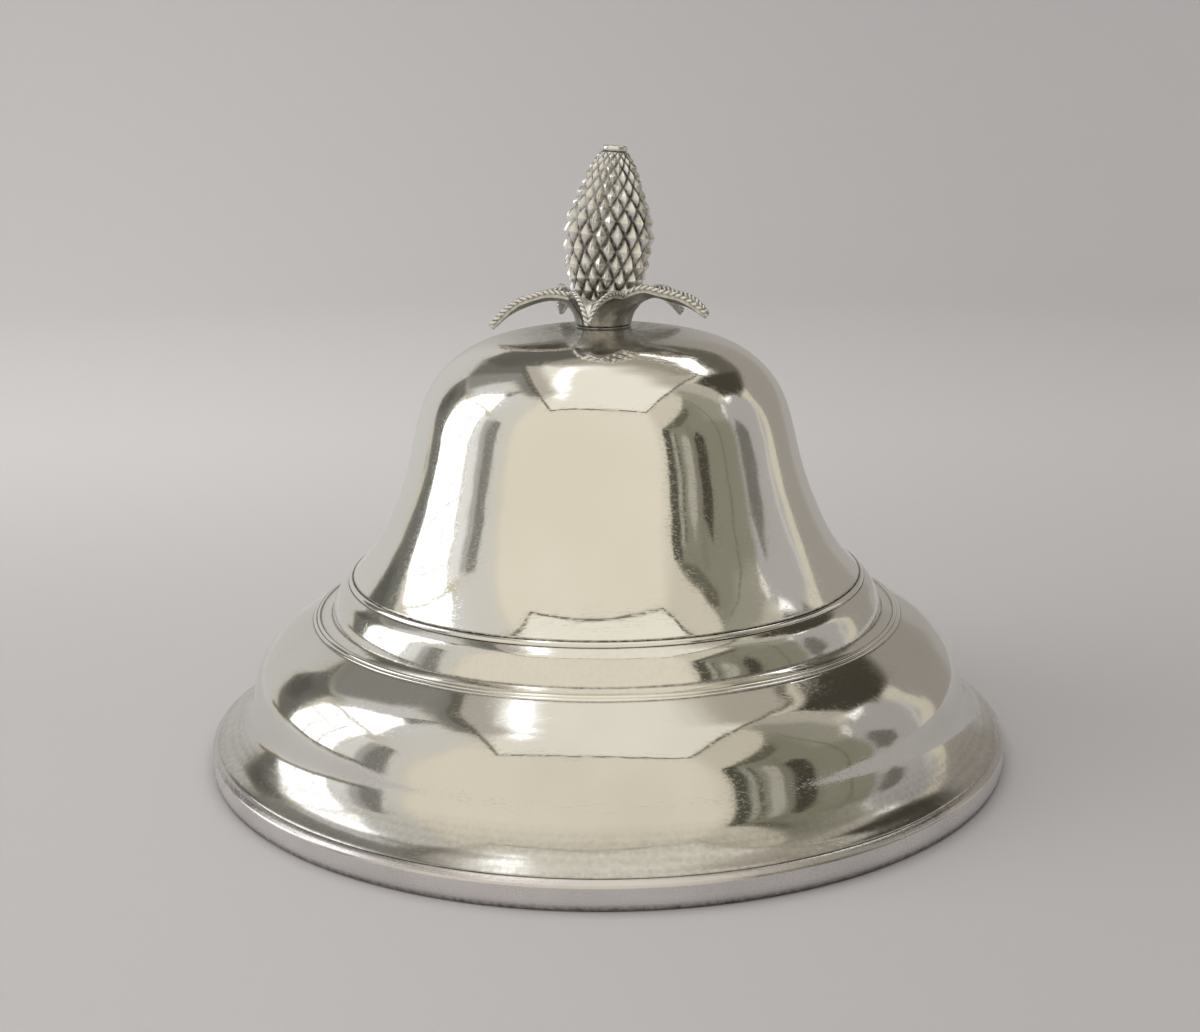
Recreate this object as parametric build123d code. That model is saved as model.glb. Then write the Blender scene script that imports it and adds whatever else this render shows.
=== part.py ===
from build123d import *
import os
from math import cos, pi, sin

# Sanctus bell: a silver canopy with a pineapple grip over four small bells.
# Millimetres. +Z is up and the origin is the centre of the rim's flat underside.

# ---- canopy: outer outlines as (radius, height), from the crown down to the rim
SHEET = 1.2
CROWN_TOP = 96.4
ROD_HOLE_R = 2.2
CROWN_OUTLINE = [(ROD_HOLE_R, CROWN_TOP), (15, 95.6), (26.3, 93.1), (34.6, 88.2), (39.6, 81.5),
                 (42.2, 73.5), (44.4, 65.0), (47.6, 56.6), (51.9, 48.4), (57.9, 40.85)]
OVOLO_TOP = (58.5, 40.1)
OVOLO_MIDDLE = (61.2, 37.2)
OVOLO_FOOT = (62.4, 33.5)
SHELF_DIP = (63.9, 33.05)
SKIRT_SEAM = (65.9, 32.65)
SKIRT_OUTLINE = [SKIRT_SEAM, (70.1, 30.3), (73.1, 28.4), (75.9, 25.9), (78.15, 23.2), (79.7, 20.3),
                 (80.6, 17.0), (81.15, 14.6), (82.2, 12.0), (84.0, 9.6), (86.7, 7.35), (88.8, 6.3)]

# ---- inner side of the collar
COLLAR_BACK_TOP = (56.96, 40.1)
COLLAR_BACK_MIDDLE = (59.8, 36.6)
COLLAR_BACK_FOOT = (61.5, 32.0)
COLLAR_BACK_END = (65.3, 31.61)

# ---- rim and applied wires
RIM_R = 90.6
RIM_INNER_R = 86.4
RIM_FOOT_R = 89.8
RIM_H = 4.6
RIM_TOP = (90.1, 5.35)
RIM_NOSE = (90.5, 5.0)
RIM_TOE_H = 1.2
RIM_INNER_H = 6.9
REED_R = 0.8
REED_SINK = 0.15
REED_BACK = 0.25

# ---- finial
LEAN_DEG = 4.5
LEAN_Z = 98.4
FOOT_R = 6.6
FOOT_LOW = 95.8
FOOT_HIGH = 97.2
CUP_R = 9.2
CUP_TOP = 102.0
CUP_LIP = (8.2, 102.6)
CUP_BORE_R = 2.3
LEAF_COUNT = 5
LEAF_START_DEG = -102
LEAF_SPINE = [(7.2, 99.0), (9.4, 102.0), (13.0, 103.1), (17.0, 102.3), (21.0, 100.0), (25.4, 96.7)]
LEAF_T = 1.5
LEAF_ROOT_R = 6.2
LEAF_ROOT_W = 10.4
LEAF_WIDE_W = 12.0
LEAF_WIDE_R = 14.0
LEAF_TIP_R = 25.3
FRUIT_OUTLINE = [(5.7, LEAN_Z), (7.7, 103.7), (9.15, 108.9), (10.05, 114.5), (9.9, 118.2),
                 (8.6, 122.7), (7.3, 125.9), (6.0, 129.2), (4.6, 132.0), (3.2, 133.9)]
FRUIT_TOP = 134.1
FRUIT_TOP_R = 2.9
CAP_R = 2.75
CAP_H = 1.6
CAP_ROUND = 0.4
CAP_ROOF = 0.5
CAP_AIR = 0.1

# ---- 4 mm tie rod and what it clamps
ROD_R = 2.0
ROD_FIT = 0.04
ROD_BOTTOM = 40.0
ROD_NUT_FLATS = 7.0
ROD_NUT_H = 3.2
WASHER_T = 0.8
CROWN_WASHER_R = 7.0
CROWN_WASHER_DROP = 1.2
CROWN_WASHER_T = 1.4
HUB_WASHER_R = 4.5

# ---- cross bracket
BRACKET_Z = 46.0
BRACKET_T = 2.5
ARM_W = 9.0
HUB_R = 9.0
BELL_COUNT = 4
BELL_CIRCLE_R = 38.0
BOLT_HOLE_R = 1.7

# ---- small bells: outlines as (radius, height above the bell's own mouth)
BELL_H = 35.0
BELL_OUTER = [(24.0, 0.9), (19.4, 6.6), (16.2, 13.0), (14.7, 21.0), (13.6, 28.0), (11.6, 32.4), (7.5, 34.6)]
BELL_INNER = [(21.8, 0.9), (17.4, 6.8), (14.3, 13.5), (12.8, 21.0), (11.7, 27.5), (9.6, 31.0), (6.5, 32.5)]
BELL_LIP = (22.9, 0)
BELL_ROOF = 32.8
BELL_ROOF_R = 5.0
BELL_SEAT_R = 5.0
PAD_T = 0.8
PAD_R = 5.5

# ---- 3 mm eye bolts, link rings and clappers
BOLT_R = 1.5
BOLT_NUT_FLATS = 5.5
BOLT_NUT_H = 2.4
BOLT_FLANGE_R = 3.2
BOLT_FLANGE_T = 1.0
BOLT_WASHER_R = 3.5
BOLT_SPARE = 0.8
EYE_SINK = 0.2
WIRE_R = 0.8
EYE_R = 2.6
LINK_R = 3.0
RING_GAP = 0.15
STEM_R = 1.1
BALL_R = 4.6
BALL_DROP = 13.3

# ---- heights that follow from the above
BELL_TOP_Z = BRACKET_Z - PAD_T
BELL_MOUTH_Z = BELL_TOP_Z - BELL_H
FLANGE_TOP_Z = BELL_MOUTH_Z + BELL_ROOF
BRACKET_TOP = BRACKET_Z + BRACKET_T
EYE_Z = FLANGE_TOP_Z - BOLT_FLANGE_T - EYE_R - WIRE_R + EYE_SINK
RING_STEP = EYE_R + LINK_R - 2 * WIRE_R - RING_GAP
LINK_Z = EYE_Z - RING_STEP
CLAPPER_EYE_Z = LINK_Z - RING_STEP
BALL_Z = CLAPPER_EYE_Z - EYE_R - BALL_DROP


def at(point):
    """A (radius, height) pair as a point of the XZ plane."""
    return Vector(point[0], 0, point[1])


def chain(*points):
    """Straight lines through (radius, height) pairs."""
    return [Line(at(a), at(b)) for a, b in zip(points, points[1:])]


def lathe(edges):
    """The solid that a closed outline in the XZ plane sweeps about the Z axis."""
    return revolve(make_face(edges), Axis.Z)


def smooth(points, start=None, end=None):
    """A spline through (radius, height) pairs, with end directions where given."""
    if start is None or end is None:
        return Spline(*[at(p) for p in points])
    return Spline(*[at(p) for p in points], tangents=[at(start), at(end)])


def inner_of(outline, thickness, count=14):
    """The spline that runs inside an outline at a constant distance."""
    points = []
    for i in range(count):
        place = outline @ (i / (count - 1))
        along = outline % (i / (count - 1))
        points.append(place - Vector(-along.Z, 0, along.X) * thickness)
    return Spline(*points)


def shell(outline, thickness):
    """A sheet of even thickness, outside the given outline's inner side."""
    inside = inner_of(outline, thickness)
    ends = [Line(outline @ 0, inside @ 0), Line(outline @ 1, inside @ 1)]
    return lathe([outline, inside] + ends)


def ring_at(radius, wire, centre, axis):
    """A wire ring about any axis."""
    return Plane(origin=centre, z_dir=axis) * Torus(radius, wire)


def rod(radius, low, high, centre=(0, 0)):
    """A round bar along Z between two heights."""
    return Pos(centre[0], centre[1], (low + high) / 2) * Cylinder(radius, high - low)


def hex_nut(flats, low, high, bore, centre=(0, 0)):
    """A hexagonal nut along Z between two heights."""
    sides = RegularPolygon(flats / 2, 6, major_radius=False)
    body = Pos(centre[0], centre[1], low) * extrude(sides, high - low)
    return body - rod(bore, low - 1, high + 1, centre)


def reed_wire(seam, outward):
    """A half-round wire over a seam. outward is the surface's own direction there."""
    n = outward.normalized()
    t = Vector(-n.Z, 0, n.X)
    centre = at(seam) - n * REED_SINK
    left = centre + t * REED_R
    right = centre - t * REED_R
    low = n * (-REED_BACK)
    round_side = ThreePointArc(left, centre + n * REED_R, right)
    back = [Line(right, right + low), Line(right + low, left + low), Line(left + low, left)]
    return lathe([round_side] + back)


def leaned(shape):
    """The fruit and what is above it lean to one side on the bent rod."""
    return Pos(0, 0, LEAN_Z) * Rot(0, LEAN_DEG, 0) * Pos(0, 0, -LEAN_Z) * shape


def make_crown():
    outline = smooth(CROWN_OUTLINE, start=(1, 0), end=(0.62, -0.78))
    return shell(outline, SHEET)


def make_collar():
    seam = CROWN_OUTLINE[-1]
    ovolo = ThreePointArc(at(OVOLO_TOP), at(OVOLO_MIDDLE), at(OVOLO_FOOT))
    shelf = ThreePointArc(at(OVOLO_FOOT), at(SHELF_DIP), at(SKIRT_SEAM))
    back = ThreePointArc(at(COLLAR_BACK_FOOT), at(COLLAR_BACK_MIDDLE), at(COLLAR_BACK_TOP))
    lines = chain(seam, OVOLO_TOP) + chain(COLLAR_BACK_TOP, seam)
    lines += chain(SKIRT_SEAM, COLLAR_BACK_END, COLLAR_BACK_FOOT)
    return lathe([ovolo, shelf, back] + lines)


def make_skirt():
    outline = smooth(SKIRT_OUTLINE, start=(0.87, -0.5), end=(0.87, -0.48))
    return shell(outline, SHEET)


def make_rim(skirt):
    """The thick applied rim, under and outside the skirt's edge."""
    nose = ThreePointArc(at(RIM_TOP), at(RIM_NOSE), at((RIM_R, RIM_H)))
    band = chain((RIM_R, RIM_H), (RIM_R, RIM_TOE_H), (RIM_FOOT_R, 0), (RIM_INNER_R, 0))
    back = chain((RIM_INNER_R, 0), (RIM_INNER_R, RIM_INNER_H), SKIRT_OUTLINE[-1], RIM_TOP)
    return lathe([nose] + band + back) - skirt


def make_leaf():
    """One arching leaf along +X: its side view, cut to its plan."""
    spine = smooth(LEAF_SPINE)
    upper = inner_of(spine, -LEAF_T / 2, 9)
    lower = inner_of(spine, LEAF_T / 2, 9)
    side = make_face([upper, lower, Line(upper @ 0, lower @ 0), Line(upper @ 1, lower @ 1)])
    band = extrude(side, LEAF_WIDE_W, dir=(0, 1, 0), both=True)
    root = Vector(LEAF_ROOT_R, LEAF_ROOT_W / 2)
    wide = Vector(LEAF_WIDE_R, LEAF_WIDE_W / 2)
    tip = Vector(LEAF_TIP_R, 0)
    edge = ThreePointArc(root, wide, tip)
    plan = make_face([edge, mirror(edge, Plane.XZ), Line(root, Vector(root.X, -root.Y))])
    return band & (Pos(0, 0, FOOT_LOW) * extrude(plan, CUP_TOP))


def make_calyx(crown, fruit):
    """A cup with five leaves, hollowed to the crown, the fruit and the leaning rod."""
    outside = chain((CUP_BORE_R, FOOT_LOW), (FOOT_R, FOOT_LOW), (FOOT_R, FOOT_HIGH), (CUP_R, CUP_TOP))
    inside = chain((CUP_R, CUP_TOP), CUP_LIP, (CUP_BORE_R, CUP_LIP[1]), (CUP_BORE_R, FOOT_LOW))
    calyx = lathe(outside + inside)
    leaf = make_leaf()
    for i in range(LEAF_COUNT):
        calyx = calyx + Rot(0, 0, LEAF_START_DEG + i * 360 / LEAF_COUNT) * leaf
    well = leaned(rod(ROD_HOLE_R, LEAN_Z - 1, CUP_TOP + 2))
    return calyx - crown - fruit - well


def make_fruit():
    bore = ROD_R + ROD_FIT
    side = smooth(FRUIT_OUTLINE)
    ends = chain(FRUIT_OUTLINE[-1], (FRUIT_TOP_R, FRUIT_TOP), (bore, FRUIT_TOP), (bore, LEAN_Z),
                 FRUIT_OUTLINE[0])
    return leaned(lathe([side] + ends))


def make_cap():
    """A small round nut with a softened top edge, threaded on the rod's end."""
    top = FRUIT_TOP + CAP_H
    button = rod(CAP_R, FRUIT_TOP, top)
    button = fillet(button.edges().sort_by(Axis.Z)[-1], CAP_ROUND)
    return leaned(button - rod(ROD_R + ROD_FIT, FRUIT_TOP - 1, top - CAP_ROOF))


def make_tie_rod():
    upper = leaned(rod(ROD_R, LEAN_Z, FRUIT_TOP + CAP_H - CAP_ROOF - CAP_AIR))
    return rod(ROD_R, ROD_BOTTOM, LEAN_Z) + Pos(0, 0, LEAN_Z) * Sphere(ROD_R) + upper


def arm_places():
    """The centre and the radial and tangential directions of each small bell."""
    places = []
    for i in range(BELL_COUNT):
        turn = 2 * pi * i / BELL_COUNT
        radial = Vector(cos(turn), sin(turn), 0)
        tangential = Vector(-sin(turn), cos(turn), 0)
        places.append((radial * BELL_CIRCLE_R, radial, tangential))
    return places


def make_bracket():
    arm = Pos(BELL_CIRCLE_R / 2, 0, 0) * Box(BELL_CIRCLE_R, ARM_W, BRACKET_T)
    arm = arm + Pos(BELL_CIRCLE_R, 0, 0) * Cylinder(ARM_W / 2, BRACKET_T)
    plate = Cylinder(HUB_R, BRACKET_T)
    for i in range(BELL_COUNT):
        plate = plate + Rot(0, 0, 360 * i / BELL_COUNT) * arm
    plate = plate - Cylinder(ROD_HOLE_R, BRACKET_T * 2)
    for centre, _, _ in arm_places():
        plate = plate - Pos(centre) * Cylinder(BOLT_HOLE_R, BRACKET_T * 2)
    return Pos(0, 0, BRACKET_Z + BRACKET_T / 2) * plate


def make_small_bell(centre):
    """A cast bell with a thick lip, open below and bored for its eye bolt."""
    outer = smooth(BELL_OUTER)
    inner = smooth(BELL_INNER)
    lip = ThreePointArc(at(BELL_OUTER[0]), at(BELL_LIP), at(BELL_INNER[0]))
    top = chain(BELL_OUTER[-1], (BELL_SEAT_R, BELL_H), (BOLT_HOLE_R, BELL_H), (BOLT_HOLE_R, BELL_ROOF),
                (BELL_ROOF_R, BELL_ROOF), BELL_INNER[-1])
    bell = lathe([outer, inner, lip] + top)
    return Pos(centre.X, centre.Y, BELL_MOUTH_Z) * bell


def make_eye_bolt(centre, tangential):
    spot = (centre.X, centre.Y)
    shank_top = BRACKET_TOP + WASHER_T + BOLT_NUT_H + BOLT_SPARE
    shank = rod(BOLT_R, FLANGE_TOP_Z - BOLT_FLANGE_T, shank_top, spot)
    flange = rod(BOLT_FLANGE_R, FLANGE_TOP_Z - BOLT_FLANGE_T, FLANGE_TOP_Z, spot)
    eye = ring_at(EYE_R, WIRE_R, (centre.X, centre.Y, EYE_Z), tangential)
    return shank + flange + eye


def make_link(centre, radial):
    return ring_at(LINK_R, WIRE_R, (centre.X, centre.Y, LINK_Z), radial)


def make_clapper(centre, tangential):
    spot = (centre.X, centre.Y)
    eye = ring_at(EYE_R, WIRE_R, (centre.X, centre.Y, CLAPPER_EYE_Z), tangential)
    stem = rod(STEM_R, BALL_Z, CLAPPER_EYE_Z - EYE_R, spot)
    return eye + stem + Pos(centre.X, centre.Y, BALL_Z) * Sphere(BALL_R)


def plate_ring(outer, bore, low, high, centre=(0, 0)):
    """A flat washer along Z between two heights."""
    return rod(outer, low, high, centre) - rod(bore, low - 1, high + 1, centre)


def save(name, shape):
    export_step(shape, "parts/" + name + ".step")


def group(solids):
    return Compound(children=solids)


def outward_at(a, b):
    """The outward direction of a slope that runs from a down to b."""
    return Vector(a[1] - b[1], 0, b[0] - a[0])


os.makedirs("parts", exist_ok=True)

crown = make_crown()
collar = make_collar()
skirt = make_skirt()
upper_reed = reed_wire(CROWN_OUTLINE[-1], outward_at(CROWN_OUTLINE[-2], OVOLO_TOP))
lower_reed = reed_wire(SKIRT_SEAM, outward_at(SHELF_DIP, SKIRT_OUTLINE[1]))
crown = crown - upper_reed
collar = collar - upper_reed - lower_reed
skirt = skirt - lower_reed
save("crown_shell", crown)
save("collar_moulding", collar)
save("skirt_shell", skirt)
save("upper_reed_wire", upper_reed)
save("lower_reed_wire", lower_reed)
save("rim_wire", make_rim(skirt))

fruit = make_fruit()
save("pineapple_grip", fruit)
save("leaf_calyx", make_calyx(crown, fruit))
save("finial_cap", make_cap())
save("tie_rod", make_tie_rod())

washer_low = CROWN_TOP - SHEET - CROWN_WASHER_DROP
washer_high = washer_low + CROWN_WASHER_T
save("crown_washer", plate_ring(CROWN_WASHER_R, ROD_HOLE_R, washer_low, washer_high) - crown)
nut_bore = ROD_R + ROD_FIT
save("crown_nut", hex_nut(ROD_NUT_FLATS, washer_low - ROD_NUT_H, washer_low, nut_bore))

save("cross_bracket", make_bracket())
hub_washers = [plate_ring(HUB_WASHER_R, ROD_HOLE_R, BRACKET_Z - WASHER_T, BRACKET_Z),
               plate_ring(HUB_WASHER_R, ROD_HOLE_R, BRACKET_TOP, BRACKET_TOP + WASHER_T)]
save("bracket_washers", group(hub_washers))
hub_nuts = [hex_nut(ROD_NUT_FLATS, BRACKET_Z - WASHER_T - ROD_NUT_H, BRACKET_Z - WASHER_T, nut_bore),
            hex_nut(ROD_NUT_FLATS, BRACKET_TOP + WASHER_T, BRACKET_TOP + WASHER_T + ROD_NUT_H, nut_bore)]
save("bracket_nuts", group(hub_nuts))

pads = []
washers = []
nuts = []
for i, (centre, radial, tangential) in enumerate(arm_places(), start=1):
    spot = (centre.X, centre.Y)
    save("small_bell_%d" % i, make_small_bell(centre))
    save("eye_bolt_%d" % i, make_eye_bolt(centre, tangential))
    save("link_ring_%d" % i, make_link(centre, radial))
    save("clapper_%d" % i, make_clapper(centre, tangential))
    pads.append(plate_ring(PAD_R, BOLT_HOLE_R, BELL_TOP_Z, BRACKET_Z, spot))
    washers.append(plate_ring(BOLT_WASHER_R, BOLT_HOLE_R, BRACKET_TOP, BRACKET_TOP + WASHER_T, spot))
    nut_low = BRACKET_TOP + WASHER_T
    nuts.append(hex_nut(BOLT_NUT_FLATS, nut_low, nut_low + BOLT_NUT_H, BOLT_R + ROD_FIT, spot))
save("bell_pads", group(pads))
save("bell_washers", group(washers))
save("bell_nuts", group(nuts))
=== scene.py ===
import math
import bpy
import numpy as np
from mathutils import Matrix


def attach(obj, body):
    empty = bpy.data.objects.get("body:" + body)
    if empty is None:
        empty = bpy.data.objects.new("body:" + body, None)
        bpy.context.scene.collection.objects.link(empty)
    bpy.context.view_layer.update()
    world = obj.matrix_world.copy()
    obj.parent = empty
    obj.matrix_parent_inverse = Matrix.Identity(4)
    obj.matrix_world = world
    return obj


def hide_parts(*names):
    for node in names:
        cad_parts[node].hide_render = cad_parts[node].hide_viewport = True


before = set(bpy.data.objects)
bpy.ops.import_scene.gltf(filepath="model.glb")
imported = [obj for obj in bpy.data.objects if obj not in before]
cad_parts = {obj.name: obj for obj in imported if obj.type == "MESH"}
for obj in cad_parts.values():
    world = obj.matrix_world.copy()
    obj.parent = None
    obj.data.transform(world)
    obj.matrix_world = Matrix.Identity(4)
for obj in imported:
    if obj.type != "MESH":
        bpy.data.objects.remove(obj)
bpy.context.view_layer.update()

# Lengths are in mm, and MM turns them into Blender's metres. Heights start at the table.
MM = 0.001
TURN = 2 * math.pi
LEAN_Z = 98.4  # where the rod bends
LEAN = math.radians(4.5)
BELL_COUNT = 4
BELL_CIRCLE_R = 38.0
BELL_MOUTH_Z = 10.2
EYE_Z = 38.8
LINK_Z = 34.95
CLAPPER_EYE_Z = 31.1
EYE_R = 2.6  # to the middle of the wire, as LINK_R is
LINK_R = 3.0
WIRE_R = 0.78


# ---- curves and meshes
def unit(v):
    v = np.asarray(v, float)
    return v / np.linalg.norm(v)


def spline(points, step, start=None, end=None):
    """Points about step apart on the smooth curve through the given ones."""
    p = np.array(points, float)
    t = np.r_[0, np.cumsum(np.linalg.norm(np.diff(p, axis=0), axis=1))]
    h = np.diff(t)
    n = len(p)
    a = np.zeros((n, n))
    b = np.zeros(p.shape)
    for i in range(1, n - 1):
        a[i, i - 1:i + 2] = 1 / h[i - 1], 2 / h[i - 1] + 2 / h[i], 1 / h[i]
        b[i] = 3 * ((p[i] - p[i - 1]) / h[i - 1] ** 2 + (p[i + 1] - p[i]) / h[i] ** 2)
    for row, other, span, given in ((0, 1, h[0], start), (n - 1, n - 2, h[-1], end)):
        if given is None:
            a[row, row], a[row, other] = 2 / span, 1 / span
            b[row] = 3 * (p[max(row, other)] - p[min(row, other)]) / span ** 2
        else:
            a[row, row] = 1
            b[row] = unit(given)
    m = np.linalg.solve(a, b)
    s = np.linspace(0, t[-1], max(3, int(round(t[-1] / step)) + 1))
    k = np.clip(np.searchsorted(t, s, side="right") - 1, 0, n - 2)
    u = ((s - t[k]) / h[k])[:, None]
    hk = h[k][:, None]
    return ((2 * u ** 3 - 3 * u ** 2 + 1) * p[k] + (u ** 3 - 2 * u ** 2 + u) * hk * m[k]
            + (3 * u ** 2 - 2 * u ** 3) * p[k + 1] + (u ** 3 - u ** 2) * hk * m[k + 1])


def arc(a, b, bulge, step=0.35):
    """The circular arc from a to b that stands off its chord by bulge, to the left."""
    a, b = np.array(a, float), np.array(b, float)
    chord = b - a
    length = np.linalg.norm(chord)
    side = np.array([-chord[1], chord[0]]) / length
    half = 2 * math.atan(2 * abs(bulge) / length)
    radius = length / 2 / math.sin(half)
    sign = 1 if bulge > 0 else -1
    centre = (a + b) / 2 - side * sign * radius * math.cos(half)
    count = max(4, int(2 * half * radius / step))
    angles = np.linspace(half, -half, count)
    up, along = side * sign, chord / length
    return centre + radius * (np.outer(np.cos(angles), up) - np.outer(np.sin(angles), along))


def line(a, b, step=1.0):
    """Points about step apart on the straight line from a to b."""
    count = max(2, int(math.dist(a, b) / step) + 1)
    return np.linspace(a, b, count)


def join(*runs):
    """One path from several, with the doubled end points dropped."""
    out = [np.asarray(runs[0], float)]
    for r in runs[1:]:
        r = np.asarray(r, float)
        out.append(r[1:] if np.allclose(r[0], out[-1][-1], atol=1e-6) else r)
    return np.concatenate(out)


def offset(path, distance):
    """The path moved sideways, to its right for a positive distance."""
    d = np.gradient(path, axis=0)
    n = np.c_[d[:, 1], -d[:, 0]]
    return path + distance * n / np.linalg.norm(n, axis=1)[:, None]


def waves(seed, count, wavelength, spread=0.5):
    """A smooth random field made of plane waves, about -1 to 1, for points in mm."""
    r = np.random.default_rng(seed)
    k = r.normal(size=(count, 3))
    k = k / np.linalg.norm(k, axis=1)[:, None]
    k = k * (TURN / (wavelength * (1 + spread * (r.random((count, 1)) - 0.5))))
    phase = r.random(count) * TURN

    def field(p):
        return np.sin(p @ k.T + phase).sum(axis=1) / math.sqrt(count)
    return field


def enclosed_volume(points, quads, tris):
    """Positive when the faces of a closed mesh turn outward."""
    total = 0.0
    for faces in (quads[:, [0, 1, 2]], quads[:, [0, 2, 3]], tris):
        a, b, c = (points[faces[:, k]] for k in range(3))
        total += (a * np.cross(b, c)).sum()
    return total


def mesh_object(name, points, quads, material, sharp=38.0, tarnish_and_shade=None, triangles=None):
    """A mesh piece from points in mm. Its darkening, patina and painted shade together, is one number, 0 to
    1, per point.
    """
    mesh = bpy.data.meshes.new(name)
    points = np.asarray(points, float) * MM
    quads = np.asarray(quads, np.int32).reshape(-1, 4)
    tris = np.asarray([] if triangles is None else triangles, np.int32).reshape(-1, 3)
    if enclosed_volume(points, quads, tris) < 0:
        quads, tris = quads[:, ::-1], tris[:, ::-1]
    mesh.vertices.add(len(points))
    mesh.vertices.foreach_set("co", points.astype(np.float32).ravel())
    mesh.loops.add(quads.size + tris.size)
    mesh.loops.foreach_set("vertex_index", np.r_[quads.ravel(), tris.ravel()])
    mesh.polygons.add(len(quads) + len(tris))
    starts = np.r_[np.arange(len(quads)) * 4, quads.size + np.arange(len(tris)) * 3]
    mesh.polygons.foreach_set("loop_start", starts.astype(np.int32))
    mesh.update(calc_edges=True)
    mesh.validate()
    mesh.polygons.foreach_set("use_smooth", np.ones(len(mesh.polygons), bool))
    mesh.set_sharp_from_angle(angle=math.radians(sharp))
    if tarnish_and_shade is not None:
        layer = mesh.attributes.new("tarnish_and_shade", "FLOAT", "POINT")
        layer.data.foreach_set("value", np.asarray(tarnish_and_shade, np.float32))
    mesh.materials.append(material)
    obj = bpy.data.objects.new(name, mesh)
    bpy.context.scene.collection.objects.link(obj)
    return obj


def grid_quads(rows, columns, close_rows, close_columns, flip=False):
    """The faces of a grid of points, joined round on itself where a direction is closed."""
    i = np.arange(rows if close_rows else rows - 1)
    j = np.arange(columns if close_columns else columns - 1)
    i, j = np.meshgrid(i, j, indexing="ij")
    i2, j2 = (i + 1) % rows, (j + 1) % columns
    q = np.stack([i * columns + j, i * columns + j2, i2 * columns + j2, i2 * columns + j], -1)
    q = q.reshape(-1, 4)
    return q[:, ::-1] if flip else q


def lathe(name, path, material, segments=256, sharp=38.0, tarnish_and_shade=None, relief=None,
          centre=(0, 0, 0), closed=True, lean=False):
    """A piece turned about a vertical axis from a path of (radius, height) in mm."""
    path = np.asarray(path, float)
    theta = np.arange(segments) / segments * TURN
    r = np.repeat(path[:, 0], segments)
    z = np.repeat(path[:, 1], segments)
    th = np.tile(theta, len(path))
    points = np.c_[r * np.cos(th), r * np.sin(th), z]
    if relief is not None:
        d = np.gradient(path, axis=0)
        n = np.c_[-d[:, 1], d[:, 0]]
        n = n / np.maximum(np.linalg.norm(n, axis=1), 1e-9)[:, None]
        nr, nz = np.repeat(n[:, 0], segments), np.repeat(n[:, 1], segments)
        out = np.c_[nr * np.cos(th), nr * np.sin(th), nz]
        points = points - out * relief(points)[:, None]
    if lean:
        points = leaned(points)
    points = points + np.array(centre)
    patina_and_shade = None if tarnish_and_shade is None else np.repeat(tarnish_and_shade, segments)
    quads = grid_quads(len(path), segments, closed, True)
    return mesh_object(name, points, quads, material, sharp, patina_and_shade)


def leaned(points):
    """The fruit and its cap stand on the bent part of the rod."""
    c, s = math.cos(LEAN), math.sin(LEAN)
    p = np.array(points, float)
    x, z = p[:, 0].copy(), p[:, 2] - LEAN_Z
    p[:, 0] = c * x + s * z
    p[:, 2] = LEAN_Z - s * x + c * z
    return p


def near(path, places, width):
    """1 at the given (radius, height) places, falling to 0 at width mm away."""
    path = np.asarray(path, float)
    out = np.zeros(len(path))
    for p in places:
        d = np.linalg.norm(path - np.array(p), axis=1)
        out = np.maximum(out, np.exp(-(d / width) ** 2))
    return out


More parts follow.
